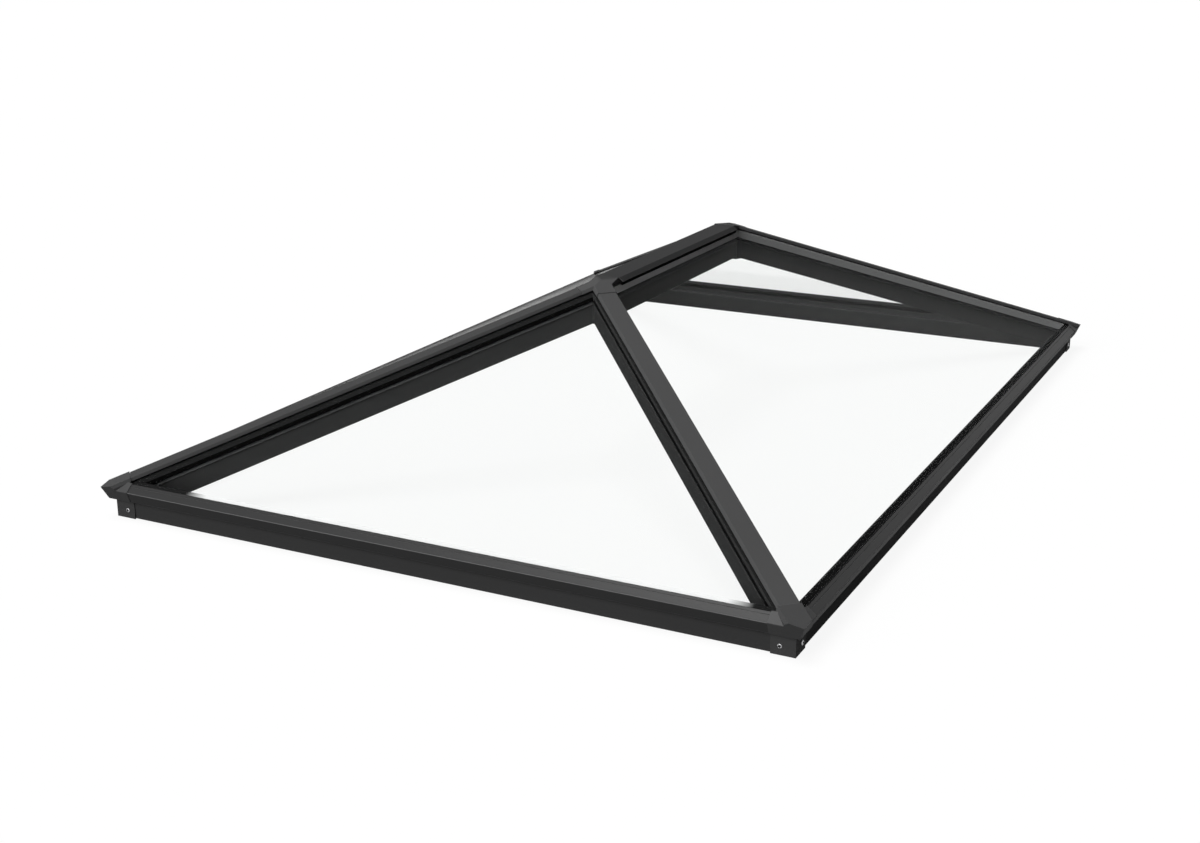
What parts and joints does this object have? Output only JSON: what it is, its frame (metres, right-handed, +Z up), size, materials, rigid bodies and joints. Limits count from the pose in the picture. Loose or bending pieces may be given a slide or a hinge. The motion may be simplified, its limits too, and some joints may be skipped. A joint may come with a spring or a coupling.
{
  "type": "roof lantern",
  "caption": "Hipped glass roof lantern with slim dark coated rafters, a short ridge, overhanging eaves trim and pointed corner covers, set on a kerb to bring daylight through a flat roof.",
  "frame": {"origin": "centre of the rectangle on which the lantern seats, at the underside of the kerb seal", "axes": "+X along the ridge and the long sides, +Y across to the back, +Z up; the left hip end faces -X and the front faces -Y"},
  "size_m": [2.301, 1.551, 0.4293],
  "materials": {
    "frame_coating": "satin powder coat, dark grey",
    "clear_glass": "clear, polished",
    "spacer_bar": "matt warm-edge spacer",
    "seal_rubber": "matt black"
  },
  "bodies": {
    "root": {"cap_seal": "seal_rubber", "corner_cover_back_left": "frame_coating", "corner_cover_back_right": "frame_coating", "corner_cover_front_left": "frame_coating", "corner_cover_front_right": "frame_coating", "eaves_bead": "frame_coating", "eaves_beam_back": "frame_coating", "eaves_beam_front": "frame_coating", "eaves_beam_left": "frame_coating", "eaves_beam_right": "frame_coating", "eaves_trim_back": "frame_coating", "eaves_trim_front": "frame_coating", "eaves_trim_left": "frame_coating", "eaves_trim_right": "frame_coating", "glass_spacer_back": "spacer_bar", "glass_spacer_front": "spacer_bar", "glass_spacer_left": "spacer_bar", "glass_spacer_right": "spacer_bar", "glazing_tape": "seal_rubber", "hip_cap_back_left": "frame_coating", "hip_cap_back_right": "frame_coating", "hip_cap_front_left": "frame_coating", "hip_cap_front_right": "frame_coating", "hip_rafter_back_left": "frame_coating", "hip_rafter_back_right": "frame_coating", "hip_rafter_front_left": "frame_coating", "hip_rafter_front_right": "frame_coating", "inner_glass_back": "clear_glass", "inner_glass_front": "clear_glass", "inner_glass_left": "clear_glass", "inner_glass_right": "clear_glass", "kerb_seal": "seal_rubber", "outer_glass_back": "clear_glass", "outer_glass_front": "clear_glass", "outer_glass_left": "clear_glass", "outer_glass_right": "clear_glass", "ridge_beam": "frame_coating", "ridge_cap": "frame_coating", "ridge_end_boss_left": "frame_coating", "ridge_end_boss_right": "frame_coating", "ridge_end_cover_left": "frame_coating", "ridge_end_cover_right": "frame_coating"}
  },
  "joints": []
}
